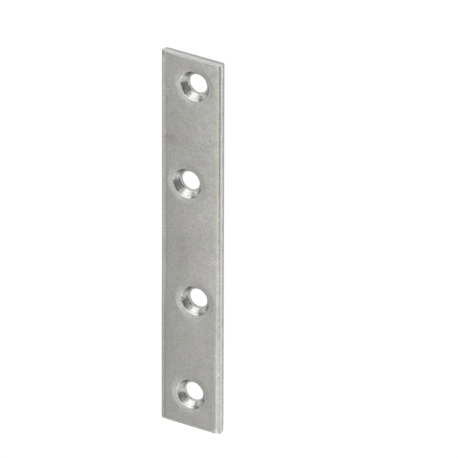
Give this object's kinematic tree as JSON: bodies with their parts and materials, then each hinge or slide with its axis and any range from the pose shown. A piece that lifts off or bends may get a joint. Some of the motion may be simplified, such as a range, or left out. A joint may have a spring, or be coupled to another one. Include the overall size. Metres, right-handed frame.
{
  "type": "mending plate",
  "caption": "Flat rectangular steel strip with a row of staggered countersunk screw holes, for joining timber edge to edge.",
  "frame": {"origin": "middle of the flat back face, which the plate lies on", "axes": "+Z out of the front face, which the countersinks open into; +Y along the length, towards the end that the picture shows at the top; +X across the width, to the right as seen from the front"},
  "size_m": [0.016, 0.1, 0.0023],
  "materials": {
    "plated_steel": "zinc-plated, fine-grained satin on the flat faces, brighter in the pressed countersinks and at the rolled edges"
  },
  "bodies": {
    "root": {"plate": "plated_steel"}
  },
  "joints": []
}
